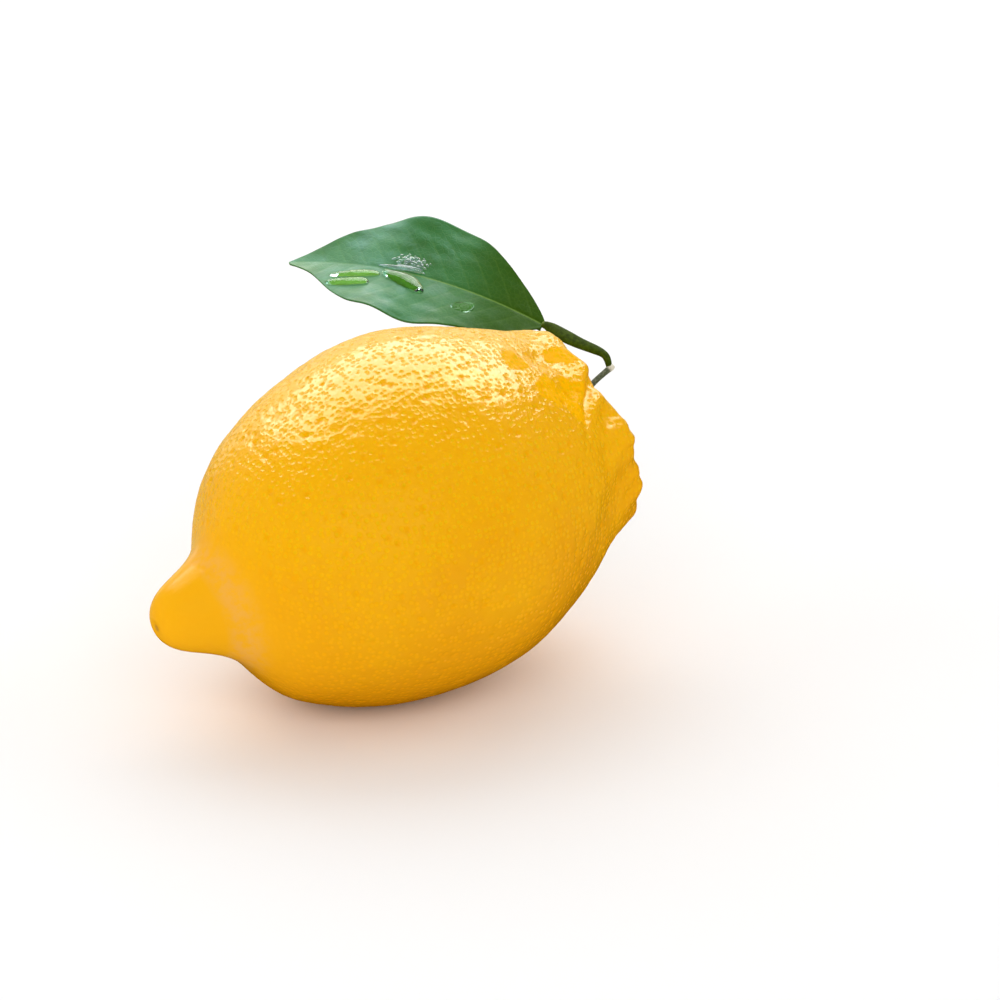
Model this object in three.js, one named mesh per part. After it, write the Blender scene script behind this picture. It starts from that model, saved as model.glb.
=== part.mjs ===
// A lemon as picked, with its calyx, the cut end of its stalk and one leaf.
//
// The fruit lies on its side. Units are millimetres and +Z is up. The origin is on the small flat spot that
// the fruit rests on, straight below the centre of mass. +X runs along the fruit, from its nipple to its stem
// end, which is raised by REST_TILT. The leaf grows back over the fruit and towards +Y.
//
// Five pieces: fruit (nipple, belly and neck grew as one body), calyx (the five-lobed button in the hollow of
// the neck), stalk (the twig, cut just past the leaf), leaf_stalk (its narrow-winged petiole) and leaf_blade.

import * as THREE from "three";

const { clamp, degToRad, euclideanModulo, lerp, radToDeg, smoothstep } = THREE.MathUtils;

// ---- Driving dimensions ----

const REST_TILT = 11.6; // degrees that the stem end is raised
const BALANCE_X = 46.35; // the centre of mass, along the fruit's axis from the nipple's tip
const REST_HEIGHT = 28.75; // height of that point of the axis, which sinks the belly 0.45 into the flat spot
const PIECE_GAP = 0.3; // clearance between pieces that touch in life

// The fruit's outline before its unevenness: distance from the nipple's tip along the axis, and radius.
const OUTLINE = [
  [0, 0],
  [0.4, 2.3],
  [2.3, 4.4],
  [5.4, 6.1],
  [8.8, 7.8],
  [12.0, 10.2],
  [14.8, 14.2],
  [17.6, 18.6],
  [21.2, 21.8],
  [27.0, 25.1],
  [34.2, 27.6],
  [41.5, 28.9],
  [48.9, 29.2],
  [56.1, 28.3],
  [63.0, 25.8],
  [69.0, 23.0],
  [74.0, 20.0],
  [77.4, 18.5],
  [79.6, 17.6],
  [80.7, 16.0],
  [81.0, 13.7],
  [80.5, 10.9],
  [79.5, 8.2],
  [78.8, 5.6],
  [78.6, 0],
];
const RINGS_PER_POINT = 2;
const MERIDIANS = 110;

const NIPPLE_LENGTH = 14;
const NIPPLE_LIFT = 1.0; // its tip stands this far above the body's axis

// Angles round the fruit's axis count from its upper side (0 degrees) over its front, -Y (90 degrees).

// Broad bulges of the body, and hollows where the height is below zero.
const BULGES = [
  { x: 26, angle: -33, halfLength: 12, halfWidth: 50, height: -0.9 },
  { x: 13, angle: 147, halfLength: 4, halfWidth: 55, height: 1.7 },
  { x: 80, angle: -2, halfLength: 3, halfWidth: 18, height: 0.7 },
  { x: 80, angle: 36, halfLength: 4, halfWidth: 14, height: -0.6 },
];

// The neck's furrows. Each starts at the rim and reaches back along the body, turning round it on the way by
// so many degrees a millimetre.
const RIM_X = 81;
const FURROWS = [
  { angle: 14, depth: 1.1, halfWidth: 5, reach: 15, turn: 0.4 },
  { angle: 41, depth: 1.1, halfWidth: 5, reach: 10, turn: -1.6 },
  { angle: 46, depth: 1.7, halfWidth: 6, reach: 9, turn: 3 },
  { angle: 60, depth: 0.8, halfWidth: 4, reach: 5, turn: 1 },
  { angle: 88, depth: 1.4, halfWidth: 6, reach: 12, turn: 1.2 },
  { angle: 118, depth: 0.7, halfWidth: 5, reach: 6, turn: -0.8 },
  { angle: 149, depth: 1.6, halfWidth: 8, reach: 14, turn: 0.5 },
  { angle: 190, depth: 0.8, halfWidth: 6, reach: 8, turn: -0.6 },
  { angle: 221, depth: 1.5, halfWidth: 7, reach: 12, turn: 0.9 },
  { angle: 250, depth: 0.6, halfWidth: 5, reach: 6, turn: -0.5 },
  { angle: 287, depth: 1.5, halfWidth: 8, reach: 13, turn: 0.4 },
  { angle: 328, depth: 1.0, halfWidth: 6, reach: 10, turn: -0.7 },
];
// The neck's lobes stand out furthest along the axis at its front.
const FRONT_LOBES = { angle: 92, halfWidth: 34, reach: 1.6, fromX: 74 };

// The calyx lies on the floor of the neck's hollow, square to the fruit's axis.
const HOLLOW_FLOOR_X = 79;
const CALYX_RADIUS = 4.2;
const CALYX_THICKNESS = 1.5;
const CALYX_LOBES = 5;
const LOBE_LENGTH = 0.8;
const CALYX_PROFILE = [
  [0, 0],
  [0.55, 0],
  [0.97, 0.05],
  [1, 0.3],
  [0.9, 0.55],
  [0.6, 0.75],
  [0.35, 0.95],
  [0.22, 1],
  [0, 1],
]; // from its underside round to its top, in radii and thicknesses

// The stalks' routes, each point with the section's half width and half thickness there. The twig leaves the
// middle of the calyx and rises past the rim of the neck. The leaf stalk bends back from it over the neck.
const STALK_ROUTE = [
  [34.7, 0.0, 36.1, 1.6, 1.6],
  [36.1, 0.2, 37.6, 0.9, 0.9],
  [36.8, 0.9, 40.2, 0.6, 0.6],
  [37.2, 1.4, 42.2, 0.5, 0.5],
  [38.9, 1.9, 43.3, 0.5, 0.5],
  [40.9, 2.4, 44.2, 0.5, 0.5],
  [41.7, 2.6, 44.5, 0.6, 0.6],
];
const LEAF_STALK_ROUTE = [
  [41.2, 3.05, 45.4, 0.6, 0.5],
  [41.2, 3.75, 45.75, 0.7, 0.5],
  [40.4, 4.8, 46.3, 0.9, 0.5],
  [38.3, 6.9, 47.3, 1.15, 0.45],
  [36.8, 8.6, 48.2, 1.35, 0.4],
  [35.3, 10.4, 49.3, 1.2, 0.4],
  [34.7, 11.3, 49.9, 0.8, 0.45],
];
const LEAF_STALK_ACROSS = [0.74, 0.54, 0.4]; // the way that its narrow wings spread
const STALK_STEPS = 22;
const STALK_SIDES = 12;

// The leaf, from its base at the end of the leaf stalk to its tip.
const LEAF_BASE = [34.3, 11.7, 49.9];
const LEAF_YAW = 130; // degrees from +X, seen from above
const LEAF_PITCH = 7.6; // its tip rises
const LEAF_ROLL = 22.5; // its near margin drops
const LEAF_LENGTH = 44.2;
const LEAF_THICKNESS = 0.6;
const LEAF_ARCH = 4.3; // the midrib's rise over the straight line from base to tip
const LEAF_FOLD = 10; // degrees that each half rises from the midrib
const FOLD_ROUNDING = 0.55; // half width of the rounded bottom of the fold
const BASE_HALF_WIDTH = 0.7;
const TIP_HALF_WIDTH = 0.35;
// Each half: its width, how far its widest place lies towards the base, its fullness, and its margin's waves.
const FAR_HALF = { width: 11.4, lean: 0.88, fullness: 1, wavePhase: 0.55 };
const NEAR_HALF = { width: 11.6, lean: 0.86, fullness: 0.95, wavePhase: 0.35 };
const MARGIN_WAVE = 0.7;
const WAVES_PER_LEAF = 3.1;
const LEAF_ROWS = 28;
const LEAF_COLUMNS = 12;

// ---- Helpers ----

// A bell curve, 1 at zero and 0.61 at one half width.
const bell = (halfWidths) => Math.exp(-0.5 * halfWidths * halfWidths);

// Degrees between two directions round the axis, the short way.
const between = (a, b) => Math.abs(euclideanModulo(a - b + 180, 360) - 180);

function meshFrom(points, triangles) {
  const geometry = new THREE.BufferGeometry().setFromPoints(points);
  geometry.setIndex(triangles.flat());
  return geometry;
}

// ---- Fruit ----

// The outline as a smooth curve for the lathe, from pole to pole.
function outlinePoints() {
  const knots = OUTLINE.map(([x, r]) => new THREE.Vector3(r, x, 0));
  const curve = new THREE.CatmullRomCurve3(knots, false, "centripetal");
  const points = curve.getPoints(RINGS_PER_POINT * (OUTLINE.length - 1));
  return points.map((p) => new THREE.Vector2(Math.abs(p.x), p.y));
}

// How far the body stands out of its turned outline: the broad bulges, over a gentle unevenness.
function bulge(x, angle) {
  const turn = degToRad(angle);
  let height = 0.15 * Math.sin(3 * turn - 0.13 * x + 2) + 0.12 * Math.sin(5 * turn + 0.2 * x);
  for (const b of BULGES) {
    height += b.height * bell((x - b.x) / b.halfLength) * bell(between(angle, b.angle) / b.halfWidth);
  }
  return height;
}

// How far the neck's furrows go in.
function furrow(x, angle) {
  const back = Math.max(RIM_X - x, 0);
  let depth = 0;
  for (const f of FURROWS) {
    const along = 1 - smoothstep(back, 0.3 * f.reach, f.reach);
    depth += f.depth * along * bell(between(angle, f.angle + f.turn * back) / f.halfWidth);
  }
  return depth;
}

// How far the front of the neck stands forward along the axis.
function frontReach(x, angle) {
  const { angle: middle, halfWidth, reach, fromX } = FRONT_LOBES;
  return reach * smoothstep(x, fromX, RIM_X) * bell(between(angle, middle) / halfWidth);
}

function fruitGeometry() {
  const lathe = new THREE.LatheGeometry(outlinePoints(), MERIDIANS);
  const position = lathe.getAttribute("position");
  const normal = lathe.getAttribute("normal");
  const up = new THREE.Vector3(Math.sin(degToRad(REST_TILT)), 0, Math.cos(degToRad(REST_TILT)));
  const p = new THREE.Vector3();
  const n = new THREE.Vector3();
  for (let i = 0; i < position.count; i++) {
    // The lathe turns about Y: its Y lies along the fruit's axis, its Z up and its X towards the front.
    p.set(position.getY(i), -position.getX(i), position.getZ(i));
    n.set(normal.getY(i), -normal.getX(i), normal.getZ(i));
    const x = p.x;
    const r = Math.hypot(p.y, p.z);
    const angle = radToDeg(Math.atan2(-p.y, p.z));
    const offPole = smoothstep(r, 2, 20);
    const offFloor = smoothstep(r, 4, 12);
    p.addScaledVector(n, bulge(x, angle) * offPole - furrow(x, angle) * offFloor);
    p.x += frontReach(x, angle) * offFloor - BALANCE_X;
    p.z += NIPPLE_LIFT * (1 - smoothstep(x, 0, NIPPLE_LENGTH));
    // What would lie below the surface is pressed flat.
    p.addScaledVector(up, Math.max(-REST_HEIGHT - p.dot(up), 0));
    position.setXYZ(i, p.x, p.y, p.z);
  }
  return lathe;
}

// ---- Calyx ----

// A domed star of blunt lobes, with its underside at x = 0 and its dome towards +X.
function calyxGeometry() {
  const points = CALYX_PROFILE.map(([r, z]) => new THREE.Vector2(r * CALYX_RADIUS, z * CALYX_THICKNESS));
  const lathe = new THREE.LatheGeometry(points, 12 * CALYX_LOBES);
  const position = lathe.getAttribute("position");
  for (let i = 0; i < position.count; i++) {
    const x = position.getX(i);
    const z = position.getZ(i);
    const r = Math.hypot(x, z);
    const offCentre = smoothstep(r, 0.3 * CALYX_RADIUS, CALYX_RADIUS);
    const lobe = LOBE_LENGTH * offCentre * Math.cos(CALYX_LOBES * Math.atan2(z, x));
    const grown = 1 + lobe / Math.max(r, 1e-6);
    position.setXYZ(i, x * grown, position.getY(i), z * grown);
  }
  return lathe.rotateZ(-Math.PI / 2);
}

// ---- Stalks ----

// A closed body along a route, with an oval section that spreads towards `across`.
function stalkGeometry(route, across) {
  const knots = route.map(([x, y, z]) => new THREE.Vector3(x, y, z));
  const curve = new THREE.CatmullRomCurve3(knots, false, "centripetal");
  const points = [];
  for (let i = 0; i <= STALK_STEPS; i++) {
    const t = i / STALK_STEPS;
    const place = t * (route.length - 1);
    const before = clamp(Math.floor(place), 0, route.length - 2);
    const sized = (k) => lerp(route[before][k], route[before + 1][k], place - before);
    const halfWidth = sized(3);
    const halfThickness = sized(4);
    const centre = curve.getPoint(t);
    const tangent = curve.getTangent(t);
    const up = new THREE.Vector3().crossVectors(tangent, across).normalize();
    const side = new THREE.Vector3().crossVectors(up, tangent);
    for (let j = 0; j < STALK_SIDES; j++) {
      const turn = (2 * Math.PI * j) / STALK_SIDES;
      const p = centre.clone();
      p.addScaledVector(side, halfWidth * Math.cos(turn));
      p.addScaledVector(up, halfThickness * Math.sin(turn));
      points.push(p);
    }
  }
  const triangles = [];
  for (let i = 0; i < STALK_STEPS; i++) {
    for (let j = 0; j < STALK_SIDES; j++) {
      const a = i * STALK_SIDES + j;
      const b = i * STALK_SIDES + ((j + 1) % STALK_SIDES);
      triangles.push([a, b, b + STALK_SIDES], [a, b + STALK_SIDES, a + STALK_SIDES]);
    }
  }
  const last = STALK_STEPS * STALK_SIDES;
  for (let j = 1; j < STALK_SIDES - 1; j++) {
    triangles.push([0, j + 1, j], [last, last + j, last + j + 1]);
  }
  return meshFrom(points, triangles);
}

// ---- Leaf ----

// A point of the blade's upper side. t runs from base to tip, v from the far margin (-1) to the near one (1).
function leafPoint(t, v) {
  const half = v < 0 ? FAR_HALF : NEAR_HALF;
  const least = lerp(BASE_HALF_WIDTH, TIP_HALF_WIDTH, t);
  const halfWidth = least + (half.width - least) * Math.sin(Math.PI * t ** half.lean) ** half.fullness;
  const y = v * halfWidth;
  const fold = (Math.hypot(y, FOLD_ROUNDING) - FOLD_ROUNDING) * Math.tan(degToRad(LEAF_FOLD));
  const waving = Math.sin(2 * Math.PI * (WAVES_PER_LEAF * t + half.wavePhase));
  const wave = MARGIN_WAVE * v * v * Math.sin(Math.PI * t) * waving;
  return new THREE.Vector3(t * LEAF_LENGTH, y, 4 * LEAF_ARCH * t * (1 - t) + fold + wave);
}

// The blade: the same grid of triangles above and below, joined round the margin.
function leafGeometry() {
  const points = [];
  for (const drop of [0, LEAF_THICKNESS]) {
    for (let i = 0; i <= LEAF_ROWS; i++) {
      for (let j = 0; j <= LEAF_COLUMNS; j++) {
        const p = leafPoint(i / LEAF_ROWS, (2 * j) / LEAF_COLUMNS - 1);
        points.push(p.setZ(p.z - drop));
      }
    }
  }
  const at = (i, j) => i * (LEAF_COLUMNS + 1) + j;
  const under = (LEAF_ROWS + 1) * (LEAF_COLUMNS + 1);
  const triangles = [];
  for (let i = 0; i < LEAF_ROWS; i++) {
    for (let j = 0; j < LEAF_COLUMNS; j++) {
      const [a, b, c, d] = [at(i, j), at(i + 1, j), at(i + 1, j + 1), at(i, j + 1)];
      triangles.push([a, b, c], [a, c, d]);
      triangles.push([a + under, c + under, b + under], [a + under, d + under, c + under]);
    }
  }
  const wall = (a, b) => triangles.push([b, a, a + under], [b, a + under, b + under]);
  for (let i = 0; i < LEAF_ROWS; i++) {
    wall(at(i, 0), at(i + 1, 0));
    wall(at(i + 1, LEAF_COLUMNS), at(i, LEAF_COLUMNS));
  }
  for (let j = 0; j < LEAF_COLUMNS; j++) {
    wall(at(0, j + 1), at(0, j));
    wall(at(LEAF_ROWS, j), at(LEAF_ROWS, j + 1));
  }
  return meshFrom(points, triangles);
}

// ---- The part ----

const part = new THREE.Group();

function add(name, geometry, color, roughness, parent = part) {
  const mesh = new THREE.Mesh(geometry, new THREE.MeshStandardMaterial({ color, roughness, metalness: 0 }));
  mesh.name = name;
  parent.add(mesh);
  return mesh;
}

// The fruit's frame: its axis along X, tilted about the balance point.
const fruitFrame = new THREE.Group();
fruitFrame.position.z = REST_HEIGHT;
fruitFrame.rotation.y = -degToRad(REST_TILT);
part.add(fruitFrame);

add("fruit", fruitGeometry(), 0xf2b112, 0.45, fruitFrame);
const calyx = add("calyx", calyxGeometry(), 0x6f7c33, 0.7, fruitFrame);
calyx.position.x = HOLLOW_FLOOR_X + PIECE_GAP - BALANCE_X;

add("stalk", stalkGeometry(STALK_ROUTE, new THREE.Vector3(0, 1, 0)), 0x7d8769, 0.8);
add("leaf_stalk", stalkGeometry(LEAF_STALK_ROUTE, new THREE.Vector3(...LEAF_STALK_ACROSS)), 0x44541a, 0.5);

const leaf = add("leaf_blade", leafGeometry(), 0x3a6b2d, 0.35);
leaf.position.set(...LEAF_BASE);
leaf.rotation.set(-degToRad(LEAF_ROLL), -degToRad(LEAF_PITCH), degToRad(LEAF_YAW), "ZYX");

export default part;
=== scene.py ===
"""The looks of a lemon with its calyx, cut stalk and leaf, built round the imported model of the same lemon.

Every mesh is in metres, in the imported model's frame: the fruit lies on the surface z = 0 with its nipple
towards -X, and its leaf grows back over it towards +Y. Sizes are given in millimetres, and MM turns them into
metres where a mesh or a material is made. "Along" is the distance from the nipple's tip along the fruit's
axis, and angles round that axis count from its upper side (0 degrees) over its front, -Y (90 degrees).
"""

import logging
import math
from collections.abc import Iterator
from contextlib import contextmanager
from dataclasses import dataclass, field, replace
from enum import Enum
from functools import partial, reduce
from typing import NamedTuple

import bmesh
import bpy
import numpy as np
from mathutils import Euler, Matrix, Vector

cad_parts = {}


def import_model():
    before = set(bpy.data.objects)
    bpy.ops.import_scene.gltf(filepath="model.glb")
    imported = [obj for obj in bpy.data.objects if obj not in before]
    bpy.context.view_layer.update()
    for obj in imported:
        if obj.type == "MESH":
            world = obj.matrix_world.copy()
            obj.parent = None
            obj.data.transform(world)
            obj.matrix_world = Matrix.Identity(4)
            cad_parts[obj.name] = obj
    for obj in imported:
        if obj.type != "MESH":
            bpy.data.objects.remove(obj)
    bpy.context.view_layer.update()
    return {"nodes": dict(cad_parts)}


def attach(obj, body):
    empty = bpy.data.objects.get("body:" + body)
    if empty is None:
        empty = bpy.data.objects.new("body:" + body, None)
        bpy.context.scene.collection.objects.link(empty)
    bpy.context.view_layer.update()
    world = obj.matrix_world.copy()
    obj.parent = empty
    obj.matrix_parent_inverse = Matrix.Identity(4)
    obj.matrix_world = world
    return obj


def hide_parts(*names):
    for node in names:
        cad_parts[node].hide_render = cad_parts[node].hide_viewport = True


LOG = logging.getLogger("lemon")
MM = 0.001
TINY = 1e-6
BODY = "root"
UP = Vector((0.0, 0.0, 1.0))
WHITE = (1.0, 1.0, 1.0)

Colour = tuple[float, float, float]
Place = tuple[float, float, float]
Span = tuple[float, float]
Socket = bpy.types.NodeSocket
Material = bpy.types.Material
Piece = bpy.types.Object


class Slot(Enum):
    """The names of the material slots."""

    RIND = "rind"
    CALYX = "calyx"
    TWIG = "twig"
    LEAF_STALK = "leaf_stalk"
    LEAF = "leaf"


# ---- Mesh helpers ----


def take_up(*pieces: Piece) -> None:
    """Leaves only some pieces selected, or none, and makes the first of them the active object.

    Args:
        *pieces: The pieces that the next operator acts on.
    """
    for thing in bpy.context.selected_objects:
        thing.select_set(False)
    for piece in reversed(pieces):
        piece.select_set(True)
        bpy.context.view_layer.objects.active = piece


@contextmanager
def editing(piece: Piece) -> Iterator[None]:
    """Opens a piece in edit mode with all of it selected, and closes it again.

    Args:
        piece: The piece that the operators in between act on.

    Yields:
        Nothing, while the piece is open.
    """
    take_up(piece)
    bpy.ops.object.mode_set(mode="EDIT")
    bpy.ops.mesh.select_all(action="SELECT")
    yield
    bpy.ops.object.mode_set(mode="OBJECT")


def new_piece(name: str, operator: object, **settings: object) -> Piece:
    """Adds a primitive.

    Args:
        name: The piece's name.
        operator: The bpy.ops.mesh operator that adds the primitive.
        **settings: The operator's settings.

    Returns:
        The new object.
    """
    take_up()
    operator(**settings)
    piece = bpy.context.object
    piece.name = name
    piece.data.name = name
    return piece


def apply_modifier(piece: Piece, kind: str, **settings: object) -> None:
    """Adds a modifier, sets it and applies it.

    Args:
        piece: The object that it shapes.
        kind: Blender's name for its type.
        **settings: The modifier's properties.
    """
    take_up(piece)
    modifier = piece.modifiers.new(kind.lower(), kind)
    for name, value in settings.items():
        setattr(modifier, name, value)
    bpy.ops.object.modifier_apply(modifier=modifier.name)


def vertex_rows(piece: Piece, what: str) -> np.ndarray:
    """Reads a property of a mesh's vertices.

    Args:
        piece: The mesh's object.
        what: The property's name, co or normal.

    Returns:
        One row of three numbers for each vertex.
    """
    flat = np.zeros(len(piece.data.vertices) * 3, np.float32)
    piece.data.vertices.foreach_get(what, flat)
    return flat.reshape(-1, 3).astype(float)


def places_of(piece: Piece) -> np.ndarray:
    """Gives a mesh's vertices in millimetres, one row for each."""
    return vertex_rows(piece, "co") / MM


def set_places(piece: Piece, places: np.ndarray) -> None:
    """Moves a mesh's vertices to the given places in millimetres."""
    piece.data.vertices.foreach_set("co", (places * MM).astype(np.float32).ravel())
    piece.data.update()


def smooth_shading(piece: Piece) -> None:
    """Shades a piece smoothly all over."""
    piece.data.polygons.foreach_set("use_smooth", np.ones(len(piece.data.polygons), bool))


def smoothstep(value: np.ndarray, low: float, high: float) -> np.ndarray:
    """Rises smoothly from 0 at low to 1 at high."""
    share = np.clip((value - low) / (high - low), 0.0, 1.0)
    return share * share * (3.0 - 2.0 * share)


def bell(half_widths: np.ndarray) -> np.ndarray:
    """A bell curve, 1 at zero and 0.61 at one half width."""
    return np.exp(-0.5 * half_widths * half_widths)


def unit_rows(rows: np.ndarray) -> np.ndarray:
    """Scales each row to a length of 1, but not a row of no length."""
    return rows / np.maximum(np.linalg.norm(rows, axis=1, keepdims=True), TINY)


def distances_to(places: np.ndarray, centre: Place | Vector) -> np.ndarray:
    """Gives how far each row's place is from one point."""
    return np.linalg.norm(places - np.array(centre), axis=1)


def hand_over(piece: Piece, materials: tuple[Material, ...], slot: Slot | None, *nodes: str) -> None:
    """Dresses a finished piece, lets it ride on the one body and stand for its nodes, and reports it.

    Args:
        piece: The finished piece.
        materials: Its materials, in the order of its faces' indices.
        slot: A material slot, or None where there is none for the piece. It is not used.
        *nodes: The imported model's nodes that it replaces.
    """
    piece.data.materials.clear()
    for material in materials:
        piece.data.materials.append(material)
    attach(piece, BODY)
    if nodes:
        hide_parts(*nodes)
    triangles = sum(len(face.vertices) - 2 for face in piece.data.polygons)
    LOG.info("%s: %d triangles", piece.name, triangles)


# ---- Node trees ----


class Ramp(NamedTuple):
    """A smooth rise or fall: where it starts and ends, and its levels there."""

    low: float
    high: float
    least: float = 0.0
    most: float = 1.0

    def scaled(self, unit: float) -> "Ramp":
        """Gives the ramp with its limits in other units."""
        return self._replace(low=self.low * unit, high=self.high * unit)


class Nodes:
    """Short calls that fill the node tree of a material or a modifier."""

    def __init__(self, tree: bpy.types.NodeTree) -> None:
        """Empties the tree that it is to fill."""
        self.tree = tree
        self.tree.nodes.clear()

    def add(self, kind: str, inputs: dict | None = None, **settings: object) -> bpy.types.Node:
        """Adds a node.

        Args:
            kind: The node's type.
            inputs: A value or another node's output for inputs by name or number.
            **settings: The node's own properties.

        Returns:
            The new node.
        """
        node = self.tree.nodes.new(kind)
        for name, value in settings.items():
            setattr(node, name, value)
        for key, value in (inputs or {}).items():
            self.feed(node.inputs[key], value)
        return node

    def feed(self, entry: Socket, value: object) -> None:
        """Links or sets one input.

        Args:
            entry: The input socket.
            value: Another node's output, or a plain value. A colour has three numbers.
        """
        if isinstance(value, Socket):
            self.tree.links.new(value, entry)
        elif entry.type == "RGBA":
            entry.default_value = (*value, 1.0)
        else:
            entry.default_value = value

    def maths(self, operation: str, *values: float | Socket) -> Socket:
        """Gives the result of a Math node with these inputs, in order."""
        return self.add("ShaderNodeMath", dict(enumerate(values)), operation=operation).outputs[0]

    def product(self, *values: float | Socket) -> Socket:
        """Multiplies two or more numbers."""
        return reduce(partial(self.maths, "MULTIPLY"), values)

    def total(self, *values: float | Socket) -> Socket:
        """Adds two or more numbers."""
        return reduce(partial(self.maths, "ADD"), values)

    def inverse(self, share: Socket) -> Socket:
        """Gives what a share lacks of 1."""
        return self.maths("SUBTRACT", 1.0, share)

    def rise(self, value: Socket, low: float, high: float, least: float = 0.0, most: float = 1.0) -> Socket:
        """Goes smoothly from least at low and below to most at high and above."""
        inputs = {"Value": value, "From Min": low, "From Max": high, "To Min": least, "To Max": most}
        return self.add("ShaderNodeMapRange", inputs, interpolation_type="SMOOTHSTEP").outputs[0]

    def fall(self, value: Socket, low: float, high: float) -> Socket:
        """Falls smoothly from 1 at low to 0 at high."""
        return self.rise(value, low, high, 1.0, 0.0)

    def own_place(self) -> Socket:
        """Gives a piece's own coordinates in metres."""
        return self.add("ShaderNodeTexCoord").outputs["Object"]

    def noise(self, place: Socket, size: float, detail: float = 2.0, roughness: float = 0.5) -> Socket:
        """Gives a noise about 0.5 with blotches of a size in millimetres, and the finer layers on them."""
        inputs = {"Vector": place, "Scale": 1.0 / (size * MM), "Detail": detail, "Roughness": roughness}
        return self.add("ShaderNodeTexNoise", inputs).outputs[0]

    def wander(self, place: Socket, size: float, *finer: float) -> Socket:
        """Gives the same noise, lowered to lie about 0."""
        return self.total(self.noise(place, size, *finer), -0.5)

    def cells(self, place: Socket, size: float, evenness: float, feature: str = "F1") -> Socket:
        """Gives the distance to a cell's middle or edge, in cells. An evenness of 1 gives a lattice."""
        inputs = {"Vector": place, "Scale": 1.0 / (size * MM), "Randomness": 1.0 - evenness}
        return self.add("ShaderNodeTexVoronoi", inputs, feature=feature).outputs["Distance"]

    def across(self, place: Socket, way: Vector) -> Socket:
        """Gives how far a place lies in a direction, in millimetres."""
        scaled = self.add("ShaderNodeVectorMath", {0: place, 1: way / MM}, operation="DOT_PRODUCT")
        return scaled.outputs["Value"]

    def apart(self, place: Socket, centre: Place | Vector) -> Socket:
        """Gives how far a place is from a point in millimetres. The result is in metres."""
        ends = {0: place, 1: Vector(centre) * MM}
        return self.add("ShaderNodeVectorMath", ends, operation="DISTANCE").outputs["Value"]

    def mix(self, share: float | Socket, first: Colour | Socket, second: Colour | Socket) -> Socket:
        """Mixes two colours, with all of the second at a share of 1."""
        return self.add("ShaderNodeMix", {0: share, 6: first, 7: second}, data_type="RGBA").outputs[2]

    def coats(self, colour: Colour | Socket, *coats: tuple[float | Socket, Colour]) -> Socket:
        """Lays coats of colour over one another.

        Args:
            colour: The colour below.
            *coats: Pairs of a coat's share, from 0 to 1, and its colour, in order.

        Returns:
            The colour on top.
        """
        for share, coat in coats:
            colour = self.mix(share, colour, coat)
        return colour

    def bump(self, height: Socket, depth: float, normal: Socket | None = None) -> Socket:
        """Turns a height into a normal.

        Args:
            height: A height from 0 to 1, where 1 stands out most.
            depth: Its real size in millimetres.
            normal: The normal of another bump below it.

        Returns:
            The normal.
        """
        inputs = {"Height": height, "Distance": depth * MM, "Strength": 1.0}
        if normal is not None:
            inputs["Normal"] = normal
        return self.add("ShaderNodeBump", inputs).outputs[0]

    def surface(self, **inputs: object) -> None:
        """Adds the shader and the output.

        Args:
            **inputs: A value or a socket for each input that isn't left at Blender's own value, named in
                lower case with underscores.
        """
        named = {key.replace("_", " ").title().replace("Ior", "IOR"): value for key, value in inputs.items()}
        shader = self.add("ShaderNodeBsdfPrincipled", named)
        self.add("ShaderNodeOutputMaterial", {"Surface": shader.outputs[0]})


def new_material(name: str) -> tuple[Material, Nodes]:
    """Makes a material.

    Args:
        name: The material's name.

    Returns:
        The material and its empty node tree.
    """
    material = bpy.data.materials.new(name)
    material.use_nodes = True
    return material, Nodes(material.node_tree)


# ---- Fruit ----

PLACE_ATTRIBUTE = "skin_place"


@dataclass(frozen=True)
class Pits:
    """Round pits scattered over the skin, alike in the mesh and in its material.

    Floor and edge are a pit's radii, in cells, where its wall ends and where it starts.
    """

    spacing: float
    floor: float
    edge: float
    depth: float
    evenness: float = 0.15

    def depression(self, nodes: Nodes, place: Socket) -> Socket:
        """Gives 1 on the floor of a pit and 0 between the pits."""
        return nodes.fall(nodes.cells(place, self.spacing, self.evenness), self.floor, self.edge)


@dataclass(frozen=True)
class Crease:
    """A crease of the skin, or a fold where its depth is below zero, that runs back from the rim of the neck.

    It starts at an angle round the axis and turns by so many degrees for each millimetre of its way. Its half
    width is in degrees too, and its reach is in millimetres.
    """

    angle: float
    depth: float
    half_width: float
    reach: float
    turn: float


@dataclass(frozen=True)
class Hollow:
    """A smooth shallow hollow of the skin: its middle and how far it reaches."""

    middle: Place
    reach: float


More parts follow.
